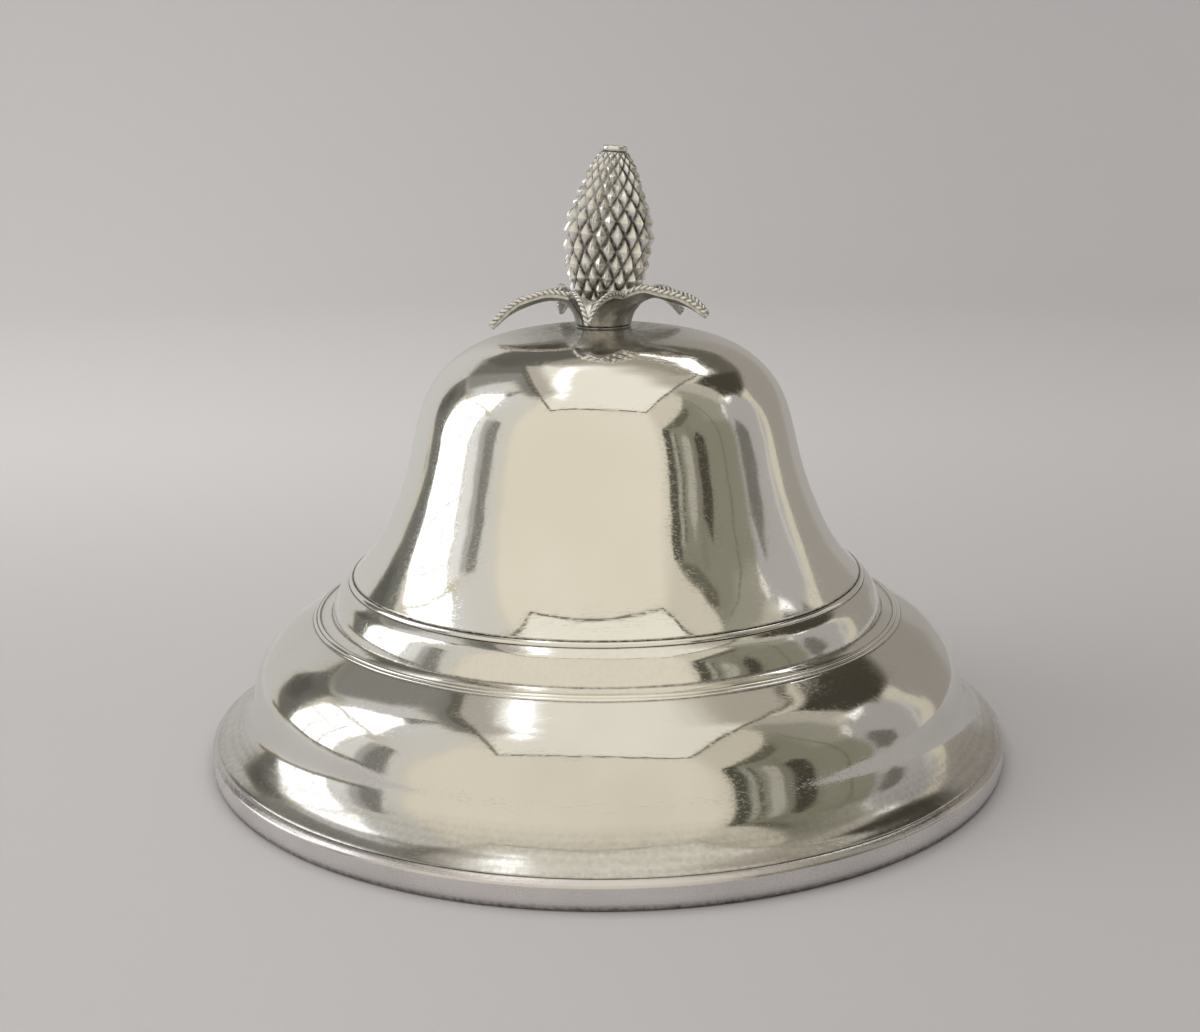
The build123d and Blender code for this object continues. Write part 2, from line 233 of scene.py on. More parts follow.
# ---- materials
class Nodes:
    """A new material and short ways to add nodes to it."""

    def __init__(self, name):
        self.material = bpy.data.materials.new(name)
        self.material.use_nodes = True
        self.tree = self.material.node_tree
        self.tree.nodes.clear()
        self.out = self.add("ShaderNodeOutputMaterial")

    def add(self, kind, **settings):
        node = self.tree.nodes.new(kind)
        for key, value in settings.items():
            setattr(node, key, value)
        return node

    def link(self, a, b):
        self.tree.links.new(a, b)

    def noise(self, vector, scale, detail=2.0, roughness=0.5, distortion=0.0):
        n = self.add("ShaderNodeTexNoise")
        n.inputs["Scale"].default_value = scale
        n.inputs["Detail"].default_value = detail
        n.inputs["Roughness"].default_value = roughness
        n.inputs["Distortion"].default_value = distortion
        self.link(vector, n.inputs["Vector"])
        return n.outputs["Fac"]

    def stretch(self, vector, scale, rotation=(0, 0, 0)):
        m = self.add("ShaderNodeMapping")
        m.inputs["Scale"].default_value = scale
        m.inputs["Rotation"].default_value = rotation
        self.link(vector, m.inputs["Vector"])
        return m.outputs["Vector"]

    def span(self, value, low, high, to_low=0.0, to_high=1.0, smooth=False):
        m = self.add("ShaderNodeMapRange")
        m.interpolation_type = "SMOOTHSTEP" if smooth else "LINEAR"
        for key, number in (("From Min", low), ("From Max", high),
                            ("To Min", to_low), ("To Max", to_high)):
            m.inputs[key].default_value = number
        self.link(value, m.inputs["Value"])
        return m.outputs["Result"]

    def math(self, operation, a, b=0.0):
        m = self.add("ShaderNodeMath", operation=operation)
        for socket, value in zip(m.inputs, (a, b)):
            if isinstance(value, (int, float)):
                socket.default_value = value
            else:
                self.link(value, socket)
        return m.outputs["Value"]

    def mix(self, factor, a, b):
        m = self.add("ShaderNodeMix", data_type="RGBA")
        sockets = {"Factor": m.inputs[0], "A": m.inputs[6], "B": m.inputs[7]}
        for key, value in (("Factor", factor), ("A", a), ("B", b)):
            if isinstance(value, tuple):
                sockets[key].default_value = (*value, 1)
            elif isinstance(value, (int, float)):
                sockets[key].default_value = value
            else:
                self.link(value, sockets[key])
        return m.outputs[2]

    def bump(self, height, distance, strength=1.0, normal=None):
        b = self.add("ShaderNodeBump")
        b.inputs["Distance"].default_value = distance
        b.inputs["Strength"].default_value = strength
        self.link(height, b.inputs["Height"])
        if normal is not None:
            self.link(normal, b.inputs["Normal"])
        return b.outputs["Normal"]

    def attribute(self, name):
        return self.add("ShaderNodeAttribute", attribute_name=name).outputs["Fac"]

    def place(self):
        return self.add("ShaderNodeTexCoord").outputs["Object"]

    def principled(self, **values):
        p = self.add("ShaderNodeBsdfPrincipled")
        for key, value in values.items():
            socket = p.inputs[key.replace("_", " ")]
            if isinstance(value, tuple):
                socket.default_value = (*value, 1)
            elif isinstance(value, (int, float)):
                socket.default_value = value
            else:
                self.link(value, socket)
        self.link(p.outputs["BSDF"], self.out.inputs["Surface"])
        return p


HAIRLINE_SCALE = 2600.0
HAIRLINE_STRETCH = 0.035
HAIRLINE_ANGLES = ((0.3, 0.5, 0.2), (1.1, 0.2, 1.4), (0.7, 2.1, 0.9))
TURNING_SCALE = 2200.0
TURNING_ROUND = 9.0


def scratch_field(n, place):
    """Hairlines in several directions, 0 where there is none."""
    total = None
    for angle in HAIRLINE_ANGLES:
        v = n.stretch(place, (HAIRLINE_SCALE * HAIRLINE_STRETCH, HAIRLINE_SCALE, HAIRLINE_SCALE), angle)
        f = n.noise(v, 1.0, 2.0, 0.6, 0.15)
        thin = n.span(f, 0.60, 0.68, 0.0, 1.0, True)
        total = thin if total is None else n.math("ADD", total, thin)
    return total


def silver(name, roughness, depths, patina_and_shade_colour, light=(0.955, 0.940, 0.905), dark=(0.915, 0.895, 0.850)):
    """Silver that varies from light to dark, with hairlines, and a dark colour for the patina in its
    grooves and for painted shade.

    depths are those of the soft planishing, the turning marks and the hairlines.
    """
    wave_depth, turned_depth, scratch_depth = (depth * MM for depth in depths)
    n = Nodes(name)
    place = n.place()
    cloud = n.span(n.noise(place, 28.0, 3.0, 0.55), 0.32, 0.7, 0.0, 1.0, True)
    tint = n.mix(cloud, light, dark)
    lines = scratch_field(n, place)
    smear = n.span(n.noise(n.stretch(place, (1, 1, 3.0)), 90.0, 4.0, 0.6), 0.35, 0.75, 0.0, 1.0)
    rough = n.math("ADD", n.math("MULTIPLY", smear, roughness * 0.9), roughness)
    rough = n.math("ADD", rough, n.math("MULTIPLY", lines, 0.05))
    speckle = n.span(n.noise(place, 900.0, 3.0, 0.6), 0.25, 0.7, 0.45, 1.2)
    # The darkening holds real patina and painted shade alike, and it also makes the surface rougher.
    patina_and_shade = n.math("MINIMUM", n.math("MULTIPLY", n.attribute("tarnish_and_shade"), speckle), 1.0)
    tint = n.mix(patina_and_shade, tint, patina_and_shade_colour)
    rough = n.math("ADD", rough, n.math("MULTIPLY", patina_and_shade, 0.38))
    split = n.add("ShaderNodeSeparateXYZ")
    n.link(place, split.inputs["Vector"])
    x, y, z = (split.outputs[k] for k in "XYZ")
    away = n.math("SQRT", n.math("ADD", n.math("MULTIPLY", x, x), n.math("MULTIPLY", y, y)))
    round_it = n.add("ShaderNodeCombineXYZ")
    n.link(n.math("MULTIPLY", away, TURNING_SCALE), round_it.inputs["X"])
    n.link(n.math("MULTIPLY", z, TURNING_SCALE), round_it.inputs["Y"])
    n.link(n.math("MULTIPLY", n.math("ARCTAN2", y, x), TURNING_ROUND), round_it.inputs["Z"])
    turned = n.noise(round_it.outputs["Vector"], 1.0, 2.0, 0.6)
    normal = n.bump(n.noise(place, 150.0, 1.0, 0.4), wave_depth)
    normal = n.bump(n.noise(place, 430.0, 2.0, 0.5), wave_depth * 0.10, 1.0, normal)
    normal = n.bump(turned, turned_depth, 1.0, normal)
    normal = n.bump(lines, scratch_depth, 0.6, normal)
    n.principled(Base_Color=tint, Metallic=1.0, Roughness=rough, Normal=normal)
    return n.material


def plain_metal(name, light, dark, roughness, grain, depth, rust=None):
    """Cast or forged metal with a grain of that scale and depth, and spots of rust if one is given."""
    n = Nodes(name)
    place = n.place()
    cloud = n.span(n.noise(place, 120.0, 5.0, 0.65), 0.3, 0.72, 0.0, 1.0, True)
    tint = n.mix(cloud, light, dark)
    spots = n.span(n.noise(place, grain, 4.0, 0.7), 0.45, 0.7, 0.0, 1.0, True)
    if rust is not None:
        tint = n.mix(n.math("MULTIPLY", spots, 0.5), tint, rust)
    rough = n.math("ADD", n.math("MULTIPLY", spots, 0.22), roughness)
    n.principled(Base_Color=tint, Metallic=0.92, Roughness=rough,
                 Normal=n.bump(n.noise(place, grain, 3.0, 0.6), depth * MM))
    return n.material


def leather():
    """Waxed leather with fine pores."""
    n = Nodes("waxed_leather")
    place = n.place()
    cells = n.add("ShaderNodeTexVoronoi", feature="DISTANCE_TO_EDGE")
    cells.inputs["Scale"].default_value = 1600.0
    n.link(place, cells.inputs["Vector"])
    pores = n.span(cells.outputs["Distance"], 0.0, 0.25, 0.0, 1.0, True)
    tint = n.mix(n.noise(place, 300.0, 4.0, 0.6), (0.10, 0.045, 0.022), (0.23, 0.115, 0.055))
    n.principled(Base_Color=tint, Roughness=n.span(pores, 0, 1, 0.75, 0.5),
                 Normal=n.bump(pores, 0.06 * MM))
    return n.material


SILVER = silver("polished_silver", 0.035, (0.04, 0.0006, 0.004), (0.10, 0.085, 0.065))
SKIRT_SILVER = silver("worn_silver", 0.040, (0.04, 0.0003, 0.003), (0.10, 0.085, 0.065),
                      light=(0.86, 0.845, 0.81), dark=(0.79, 0.77, 0.73))
RIM_SILVER = silver("worn_rim_silver", 0.17, (0.05, 0.0006, 0.008), (0.10, 0.085, 0.08),
                    light=(0.80, 0.765, 0.765), dark=(0.66, 0.63, 0.625))
CHASED = silver("chased_silver", 0.13, (0.04, 0.0, 0.006), (0.085, 0.075, 0.062),
                light=(0.985, 0.975, 0.955), dark=(0.95, 0.94, 0.915))
BELL_METAL = plain_metal("bell_metal", (0.62, 0.47, 0.22), (0.44, 0.31, 0.13), 0.26, 700.0, 0.02)
IRON = plain_metal("iron_fittings", (0.34, 0.33, 0.31), (0.20, 0.19, 0.18), 0.38, 900.0, 0.03)
CAST_IRON = plain_metal("iron_clapper", (0.17, 0.16, 0.15), (0.09, 0.085, 0.08), 0.5, 1100.0, 0.06,
                        rust=(0.16, 0.07, 0.035))
LEATHER = leather()


# ---- the canopy
# Outlines are lists of (radius, height).
CROWN_OUTLINE = [(2.2, 96.4), (7, 96.35), (15, 95.6), (26.3, 93.1), (34.6, 88.2), (39.6, 81.5),
                 (42.2, 73.5), (44.4, 65.0), (47.6, 56.6), (51.9, 48.4), (57.42, 41.48)]
SKIRT_OUTLINE = [(66.75, 32.25), (70.1, 30.3), (73.1, 28.4), (75.9, 25.9), (78.15, 23.2), (79.7, 20.3),
                 (80.6, 17.0), (81.15, 14.6), (82.2, 12.0), (84.0, 9.6), (86.7, 7.35), (88.8, 6.3)]
OVOLO_OUTLINE = [(58.46, 40.34), (58.9, 40.02), (60.1, 39.0), (61.2, 37.2), (62.0, 35.3), (62.35, 33.9)]
REED_START, REED_END = np.array((65.05, 32.98)), np.array((66.75, 32.28))
SHEET = 1.2  # the thickness of the raised sheet
CANOPY_SEGMENTS = 288
BRIM_SEGMENTS = 320
DULL_R = 27.0  # the crown's top is duller inside this radius
COVE_Z = 13.5  # the skirt is duller below this height
slow = waves(11, 30, 70.0)
planish = waves(12, 60, 16.0)
dimple = waves(13, 80, 7.0)


def hand_made(slow_mm, planish_mm, dimple_mm, inward=False):
    """The small unevenness of raised and planished sheet, as a relief in mm."""
    def relief(points):
        total = slow_mm * slow(points) + planish_mm * planish(points) + dimple_mm * dimple(points)
        return np.abs(total) if inward else total
    return relief


def crown_shell():
    """The raised upper bell, open inside, with a dull top round the finial."""
    outer = spline(CROWN_OUTLINE, 0.45, start=(1, 0), end=(0.70, -0.714))
    groove = [(57.43, 41.44), (57.38, 41.30)]
    foot = [(57.2, 40.9), (56.6, 40.5)]
    inner = offset(outer[::-1], -SHEET)[2:]
    path = join(outer, groove, foot, inner)
    dull = 0.6 * np.clip((DULL_R - path[:, 0]) / 15.0, 0, 1) ** 1.3
    patina_and_shade = np.maximum(near(path, groove, 0.2), dull)
    return lathe("crown_shell_visual", path, SILVER, CANOPY_SEGMENTS, 50, patina_and_shade,
                 hand_made(0.05, 0.014, 0.005))


def upper_reed():
    """The bead between two fine grooves at the foot of the crown."""
    centre = np.array((57.95, 40.88))
    down = unit((0.62, -0.78))
    out = np.array((-down[1], down[0]))
    angles = np.linspace(-0.5 * math.pi, 0.5 * math.pi, 15)
    bead = centre + 0.60 * np.outer(np.sin(angles), down) + 0.30 * np.outer(np.cos(angles), out)
    low = bead[-1] - 0.55 * out
    high = bead[0] - 0.55 * out
    path = join(bead, [bead[-1] - 0.2 * out, low, high, bead[0] - 0.2 * out])
    patina_and_shade = 0.6 * near(path, [bead[0], bead[-1], bead[0] - 0.2 * out, bead[-1] - 0.2 * out], 0.2)
    return lathe("upper_reed_visual", path, SILVER, CANOPY_SEGMENTS, 60, patina_and_shade, hand_made(0.05, 0.012, 0.0))


def collar():
    """The ovolo band with a flat shelf below it."""
    top = [(58.28, 40.1), (58.36, 40.3), (58.46, 40.34)]
    ovolo = join(top, spline(OVOLO_OUTLINE, 0.3))
    step = [(62.42, 33.62), (62.55, 33.5)]
    shelf = join(step, arc((62.55, 33.5), (64.95, 32.95), -0.12, 0.3))
    back = [(65.0, 32.6), (64.9, 31.9), (61.4, 32.1), (61.0, 34.0), (59.9, 36.9), (57.2, 39.1),
            (57.6, 39.75)]
    path = join(ovolo, shelf, back)
    patina_and_shade = 0.7 * np.maximum(near(path, top[:2], 0.22), near(path, step + [(65.0, 32.8)], 0.22))
    patina_and_shade = np.maximum(patina_and_shade, 0.07)
    return lathe("collar_visual", path, SILVER, CANOPY_SEGMENTS, 50, patina_and_shade, hand_made(0.05, 0.014, 0.004))


def lower_reed():
    """A double reed: two fine beads side by side over the seam."""
    start, end = REED_START, REED_END
    along = unit(end - start)
    out = np.array((-along[1], along[0]))
    width = np.linalg.norm(end - start) / 2
    angles = np.linspace(-0.5 * math.pi, 0.5 * math.pi, 11)
    half_round = 0.47 * width * np.outer(np.sin(angles), along) + 0.26 * np.outer(np.cos(angles), out)
    beads = [start + along * width * (k + 0.5) + half_round for k in range(2)]
    path = join(beads[0], [start + along * width - 0.12 * out], beads[1],
                [end - 0.6 * out, start - 0.6 * out])
    patina_and_shade = 0.6 * near(path, [start, start + along * width - 0.12 * out, end], 0.18)
    return lathe("lower_reed_visual", path, SILVER, CANOPY_SEGMENTS, 60, patina_and_shade, hand_made(0.05, 0.012, 0.0))


def skirt_shell():
    """The raised lower shell: shoulder, waist and a cove that is duller and faintly streaked."""
    outer = spline(SKIRT_OUTLINE, 0.4, start=(0.87, -0.5), end=(0.87, -0.48))
    inner = offset(outer[::-1], -SHEET)[:-1]
    path = join([(66.55, 31.9), (66.62, 32.2)], outer, [(88.95, 6.1)], inner)
    streaks = 0.85 + 0.15 * np.sin(5.0 * path[:, 1])
    cove = 0.30 * np.clip((COVE_Z - path[:, 1]) / 4.0, 0, 1) * streaks
    seams = np.maximum(near(path, [(66.6, 32.15)], 0.25), 0.5 * near(path, [(88.9, 6.2)], 0.25))
    patina_and_shade = np.maximum(cove, seams)
    return lathe("skirt_shell_visual", path, SKIRT_SILVER, BRIM_SEGMENTS, 50, patina_and_shade,
                 hand_made(0.05, 0.02, 0.006))


def rim_wire():
    """The plain applied rim: a narrow top step, a flat upright band and a flat foot."""
    top = join([(88.6, 5.9), (88.85, 6.0)], arc((88.85, 6.0), (90.05, 5.35), 0.10, 0.2))
    nose = arc((90.05, 5.35), (90.5, 4.6), 0.12, 0.12)
    band = [(90.56, 3.6), (90.58, 2.6), (90.52, 1.6)]
    toe = arc((90.35, 0.9), (89.8, 0.0), 0.16, 0.15)
    foot = [(88.2, 0.0), (86.5, 0.0), (86.42, 0.2), (86.4, 3.0), (86.4, 5.8), (86.7, 6.0), (87.6, 5.9)]
    path = join(top, nose, band, toe, foot)
    # The groove at the top step and the lower edge next to the table are made darker.
    patina_and_shade = np.maximum(0.5 * near(path, [(88.7, 5.95)], 0.25), 0.75 * near(path, [(90.3, 0.5)], 0.7))
    return lathe("rim_wire_visual", path, RIM_SILVER, BRIM_SEGMENTS, 50, patina_and_shade,
                 hand_made(0.02, 0.015, 0.006, inward=True))


# ---- the finial
FRUIT_OUTLINE = [(5.7, 98.4), (7.7, 103.7), (9.15, 108.9), (10.05, 114.5), (9.9, 118.2),
                 (8.6, 122.7), (7.3, 125.9), (6.0, 129.2), (4.6, 132.0), (3.2, 133.9)]
SCALES_ROUND = 15
SCALE_SHAPE = 1.58  # a scale's height over its width
FRUIT_SEGMENTS = 450
GROOVE = 0.15  # the share of a scale that its groove takes
SCALE_DEPTH = 1.3


def lattice(side, theta):
    """The relief of the scales, and how far each point is from a groove, on a grid."""
    step = np.linalg.norm(np.diff(side, axis=0), axis=1)
    middle = (side[1:, 0] + side[:-1, 0]) / 2
    climb = np.r_[0, np.cumsum(step * SCALES_ROUND / (SCALE_SHAPE * TURN * middle))][:, None]
    turn = (SCALES_ROUND * theta / TURN)[None, :]
    high = np.linspace(0, 1, len(side))[:, None]
    drift = 0.07 * np.sin(2 * theta + 0.7 + 5 * high) + 0.05 * np.sin(3 * theta - 9 * high)
    sway = 0.06 * np.sin(theta + 7 * high) + 0.04 * np.sin(4 * theta + 11 * high)
    a = turn + climb + drift + 0.31
    b = turn - climb + sway + 0.17
    fa, fb = a % 1.0, b % 1.0
    cell = np.floor(a) * 12.9898 + np.floor(b) * 78.233  # a different number for each scale
    hand = np.sin(cell) * 43758.5453
    hand = hand - np.floor(hand)
    worn = 0.5 + 0.5 * np.sin(cell * 3.1)
    edge = np.minimum(np.minimum(fa, 1 - fa), np.minimum(fb, 1 - fb)) * 2
    rise = np.clip((edge - GROOVE) / (1 - GROOVE), 0, 1)
    dome = (1 - np.abs(2 * fa - 1) ** 2.2) * (1 - np.abs(2 * fb - 1) ** 2.2)
    across = np.abs((fa + fb) - 1.0)
    upright = fa - fb
    ridge = (np.exp(-(across / 0.09) ** 2) * np.clip(rise * 2.2, 0, 1)
             * np.clip(1.1 - np.abs(upright) * 1.3, 0, 1))
    height = 0.42 * dome + 0.58 * rise + (0.06 + 0.08 * worn) * ridge + 0.20 * (hand - 0.5) * rise
    return height + (0.10 + 0.10 * hand) * upright * rise, edge


def pineapple():
    """A lattice of pointed scales, cut between two families of spiral grooves."""
    side = spline(FRUIT_OUTLINE, 0.16)
    theta = np.arange(FRUIT_SEGMENTS) / FRUIT_SEGMENTS * TURN
    height, edge = lattice(side, theta)
    up = np.linspace(0, 1, len(side))
    high = up[:, None]
    depth = SCALE_DEPTH * np.clip(side[:, 0] / 10.0, 0.45, 1.0)
    ends = np.clip(np.minimum(up / 0.02, (1 - up) / 0.035), 0, 1)
    radius = side[:, 0][:, None] - (depth * ends)[:, None] * np.clip(1.12 - height, 0, 1.2)
    # Painted shade: the groove darkness rises and falls round the fruit, darker on one side as if lit from
    # the other.
    painted_side_shade = 0.72 + 0.28 * np.sin(1.5 * theta + 2.0 * np.sin(6 * high) + 0.4)
    lines = np.clip(1.0 - edge / 0.40, 0, 1) ** 1.3 * np.clip(1.25 - 0.6 * high, 0, 1)
    # Patina in the grooves times that painted shade, plus painted shade on each scale that deepens the
    # lower its relief.
    patina_and_shade = np.clip(lines * painted_side_shade + 0.50 * np.clip(1.0 - height, 0, 1) ** 1.4, 0, 1)
    x, y = radius * np.cos(theta), radius * np.sin(theta)
    z = np.repeat(side[:, 1][:, None], FRUIT_SEGMENTS, axis=1)
    closing = [(2.9, 134.08), (2.1, 134.1), (2.1, 98.4), (4.6, 98.4)]  # the top, the bore and the foot
    rings = [np.c_[r * np.cos(theta), r * np.sin(theta), np.full(FRUIT_SEGMENTS, h)] for r, h in closing]
    points = np.concatenate([np.c_[x.ravel(), y.ravel(), z.ravel()]] + rings)
    patina_and_shade = np.r_[patina_and_shade.ravel(), np.full(len(closing) * FRUIT_SEGMENTS, 0.5)]
    quads = grid_quads(len(side) + len(closing), FRUIT_SEGMENTS, True, True, True)
    return mesh_object("pineapple_visual", leaned(points), quads, CHASED, 60, patina_and_shade)


def cap():
    """The round nut on top of the fruit."""
    path = join([(0.02, 135.25), (1.2, 135.28), (2.0, 135.42)],
                arc((2.0, 135.42), (2.72, 135.2), 0.12, 0.08),
                [(2.75, 134.9), (2.72, 134.5), (2.6, 134.22), (2.4, 134.1), (2.05, 134.1), (2.05, 134.6),
                 (0.02, 134.6)])
    patina_and_shade = near(path, [(2.5, 134.15), (2.0, 134.1)], 0.35)
    return lathe("finial_cap_visual", path, CHASED, 96, 45, patina_and_shade, lean=True)


LEAVES = [  # azimuth in degrees, reach, lift, lift of the tip, and roll as a slope
    (-100, 19.2, 1.0, 1.2, 0.0), (-30, 25.8, 1.4, 2.2, -0.13), (42, 24.6, 0.4, 0.4, 0.0),
    (114, 24.8, 0.3, 0.2, 0.0), (186, 25.2, 0.0, 0.2, 0.13)]
HALF_LEAF = math.pi / len(LEAVES)  # half the angle that one leaf takes
VALLEY_R = 9.7  # where two leaves part
LEAF_DIP = 1.3  # how far a leaf's edges stand over its midrib
ROPE_R = 0.58
ROPE_PITCH = 1.3


def leaf_half_width(r, reach):
    """Half the width of a leaf at a distance from the axis: full at the root, blunt at the tip."""
    share = np.clip((r - VALLEY_R) / (reach - VALLEY_R), 0, 1)
    blade = 5.0 * (1 - share ** 1.4) ** 0.75
    return np.minimum(blade, r * math.tan(HALF_LEAF))


def leaf_edge(reach, count=70):
    """The plan of one leaf's edge as (along, across), from one valley round the tip to the other."""
    share = 1 - np.linspace(0, 1, 400) ** 2
    root = VALLEY_R * math.cos(HALF_LEAF)
    along = root + share[::-1] * (reach - root)
    outward = (along - along[0]) / (reach - along[0])
    across = leaf_half_width(VALLEY_R + outward * (reach - VALLEY_R), reach)
    across = across * (VALLEY_R * math.sin(HALF_LEAF) / across[0]) ** (1 - outward)
    half = np.c_[along, across]
    whole = np.concatenate([half * (1, -1), half[::-1][1:]])
    d = np.r_[0, np.cumsum(np.linalg.norm(np.diff(whole, axis=0), axis=1))]
    at = np.linspace(0, d[-1], count)
    return np.c_[np.interp(at, d, whole[:, 0]), np.interp(at, d, whole[:, 1])]


def leaf_sheet(azimuth, reach, lift, tip_lift, roll, rows=34):
    """One leaf's upper surface, as radial lines from the cup's foot out to the leaf's edge.

    The second value is each point's distance from the midrib, 0 to 1 at the edge.
    """
    spine = spline([(5.7, 97.0), (6.1, 98.8), (7.4, 101.0), (9.6, 102.4 + 0.1 * lift),
                    (12.8, 102.6 + 0.8 * lift), (16.6, 101.7 + lift),
                    (0.5 * (16.6 + reach) + 0.3, 99.6 + lift + 0.5 * tip_lift),
                    (reach, 96.2 + lift + tip_lift)], 0.1)
    s = np.r_[0, np.cumsum(np.linalg.norm(np.diff(spine, axis=0), axis=1))]
    edge = leaf_edge(reach)
    radius = np.hypot(edge[:, 0], edge[:, 1])
    angle = np.arctan2(edge[:, 1], edge[:, 0])
    t = np.linspace(0, 1, rows) ** 0.85
    end = np.interp(radius, spine[:, 0], s)
    run = t[:, None] * end[None, :]
    r = np.interp(run, s, spine[:, 0])
    z = np.interp(run, s, spine[:, 1])
    along, across = r * np.cos(angle), r * np.sin(angle)
    limit = np.interp(np.minimum(along, edge[:, 0].max() - 0.01), edge[len(edge) // 2:, 0][::-1],
                      edge[len(edge) // 2:, 1][::-1])
    slope = math.tan(HALF_LEAF)
    limit = np.where(along < edge[0, 0], np.minimum(r * slope, along * slope), limit)
    v = np.clip(np.abs(across) / np.maximum(limit, 0.35), 0, 1)
    depth = LEAF_DIP * np.clip((r - 7.2) / 2.4, 0, 1) * np.clip((reach - r) / 6.0, 0.12, 1) ** 0.7
    z = z + depth * (0.5 - 0.5 * np.cos(math.pi * v)) + roll * across * np.clip((r - 10) / 4, 0, 1)
    a = math.radians(azimuth)
    px = along * math.cos(a) - across * math.sin(a)
    py = along * math.sin(a) + across * math.cos(a)
    return np.stack([px, py, z], -1), v


def surface_normals(g):
    """The upward normal at each point of a grid."""
    n = np.cross(np.gradient(g, axis=1), np.gradient(g, axis=0))
    n = n / np.maximum(np.linalg.norm(n, axis=-1), 1e-9)[..., None]
    return np.where(n[..., 2:] < 0, -n, n)


def leaf(index, *shape):
    """A thin sheet with two faces, closed round its edge."""
    top, v = leaf_sheet(*shape)
    n = surface_normals(top)
    rows, cols = top.shape[:2]
    thick = np.linspace(0.5, 1.0, rows)[:, None, None]
    under = top - n * thick
    points = np.concatenate([top.reshape(-1, 3), under.reshape(-1, 3)])
    upper = grid_quads(rows, cols, False, False, True)
    lower = grid_quads(rows, cols, False, False, False) + rows * cols
    loop = [(i, 0) for i in range(rows)] + [(rows - 1, j) for j in range(1, cols)]
    loop += [(i, cols - 1) for i in range(rows - 2, -1, -1)] + [(0, j) for j in range(cols - 2, 0, -1)]
    ids = np.array([i * cols + j for i, j in loop])
    nxt = np.roll(ids, -1)
    wall = np.c_[ids, nxt, nxt + rows * cols, ids + rows * cols]
    grime = 0.10 + 0.5 * np.clip((v - 0.75) / 0.2, 0, 1)
    # The underside is painted darker: painted shade under the leaves.
    patina_and_shade = np.r_[grime.ravel(), np.full(rows * cols, 0.42)]
    return mesh_object("leaf_%d_visual" % index, points, np.concatenate([upper, lower, wall]),
                       CHASED, 70, patina_and_shade)


def rope(name, path, radius, pitch, twist):
    """A twisted two-strand wire along a path, with rounded ends. twist is 1 or -1, for its hand."""
    d = np.r_[0, np.cumsum(np.linalg.norm(np.diff(path, axis=0), axis=1))]
    count = int(d[-1] / 0.10)
    s = np.linspace(0, d[-1], count)
    p = np.stack([np.interp(s, d, path[:, k]) for k in range(3)], -1)
    t = np.gradient(p, axis=0)
    t = t / np.linalg.norm(t, axis=1)[:, None]
    side = np.cross(t, (0, 0, 1.0))
    side = side / np.maximum(np.linalg.norm(side, axis=1), 1e-6)[:, None]
    rise = np.cross(side, t)
    sides = 20
    angles = np.arange(sides) / sides * TURN
    lobes = np.abs(np.cos(angles[None, :] * twist - (math.pi * s / pitch)[:, None]))
    close = np.clip(np.minimum(s, d[-1] - s) / radius, 0.0, 1.0)
    taper = np.sqrt(1 - (1 - close) ** 2) * 0.97 + 0.03
    r = radius * (0.52 + 0.48 * lobes ** 0.7) * taper[:, None]
    spoke = (np.cos(angles)[None, :, None] * side[:, None, :]
             + np.sin(angles)[None, :, None] * rise[:, None, :])
    points = (p[:, None, :] + r[..., None] * spoke).reshape(-1, 3)
    patina_and_shade = 0.1 + 0.9 * np.clip(1.0 - lobes / 0.75, 0, 1) ** 1.1
    quads = grid_quads(count, sides, False, True, True)
    ends = []
    for base, flip in ((0, False), ((count - 1) * sides, True)):
        fan = [(base, base + k, base + k + 1) for k in range(1, sides - 1)]
        ends += [f[::-1] if flip else f for f in fan]
    return mesh_object(name, points, quads, CHASED, 60, patina_and_shade.ravel(), ends)


def leaf_ropes():
    """The rope-cut wire that runs round all the leaf edges."""
    made = []
    for index, spec in enumerate(LEAVES, start=1):
        sheet, _ = leaf_sheet(*spec)
        edge = sheet[-1] + np.array([0, 0, 0.12])  # the wire sits a little over the sheet
        middle = len(edge) // 2
        for side, run, twist in (("left", edge[:middle + 1], 1), ("right", edge[middle:][::-1], -1)):
            made.append(rope("leaf_%d_rope_%s" % (index, side), run, ROPE_R, ROPE_PITCH, twist))
    return made


def calyx_cup():
    """The small cup under the fruit, with its spread foot on the crown."""
    path = join([(2.4, 96.1), (5.9, 96.1), (6.2, 96.35), (6.1, 96.55), (5.6, 96.7)],
                spline([(5.6, 96.7), (5.65, 97.6), (6.4, 99.6), (8.3, 101.2)], 0.3),
                [(8.0, 101.3), (7.0, 100.3), (6.2, 99.2), (5.4, 98.3), (2.4, 98.0)])
    # Patina in the crease at the foot, and the whole cup painted darker as painted shade under the leaves.
    patina_and_shade = np.maximum(near(path, [(5.65, 96.65)], 0.6), 0.38)
    return lathe("calyx_cup_visual", path, CHASED, 120, 50, patina_and_shade)


# ---- inside the canopy
BELL_OUTER = [(24.0, 0.9), (19.4, 6.6), (16.2, 13.0), (14.7, 21.0), (13.6, 28.0), (11.6, 32.4), (7.5, 34.6)]
BELL_INNER = [(21.8, 0.9), (17.4, 6.8), (14.3, 13.5), (12.8, 21.0), (11.7, 27.5), (9.6, 31.0), (6.5, 32.5)]


def ring(name, centre, axis, radius, material):
    """A ring of bent wire, pinched a little at its closing seam."""
    axis = unit(axis)
    a = unit(np.cross(axis, (0, 0, 1.0)))
    b = np.cross(axis, a)
    major, minor = 72, 16
    t = np.arange(major) / major * TURN
    q = np.arange(minor) / minor * TURN
    seam = np.exp(-((t - math.pi / 2) / 0.06) ** 2) * 0.12
    wire = (WIRE_R * (1 - seam))[:, None]
    spoke = np.outer(np.cos(t), a) + np.outer(np.sin(t), b)
    points = (np.array(centre) + spoke[:, None, :] * (radius + wire * np.cos(q)[None, :])[..., None]
              + (wire * np.sin(q)[None, :])[..., None] * axis)
    quads = grid_quads(major, minor, True, True, True)
    return mesh_object(name, points.reshape(-1, 3), quads, material, 60)


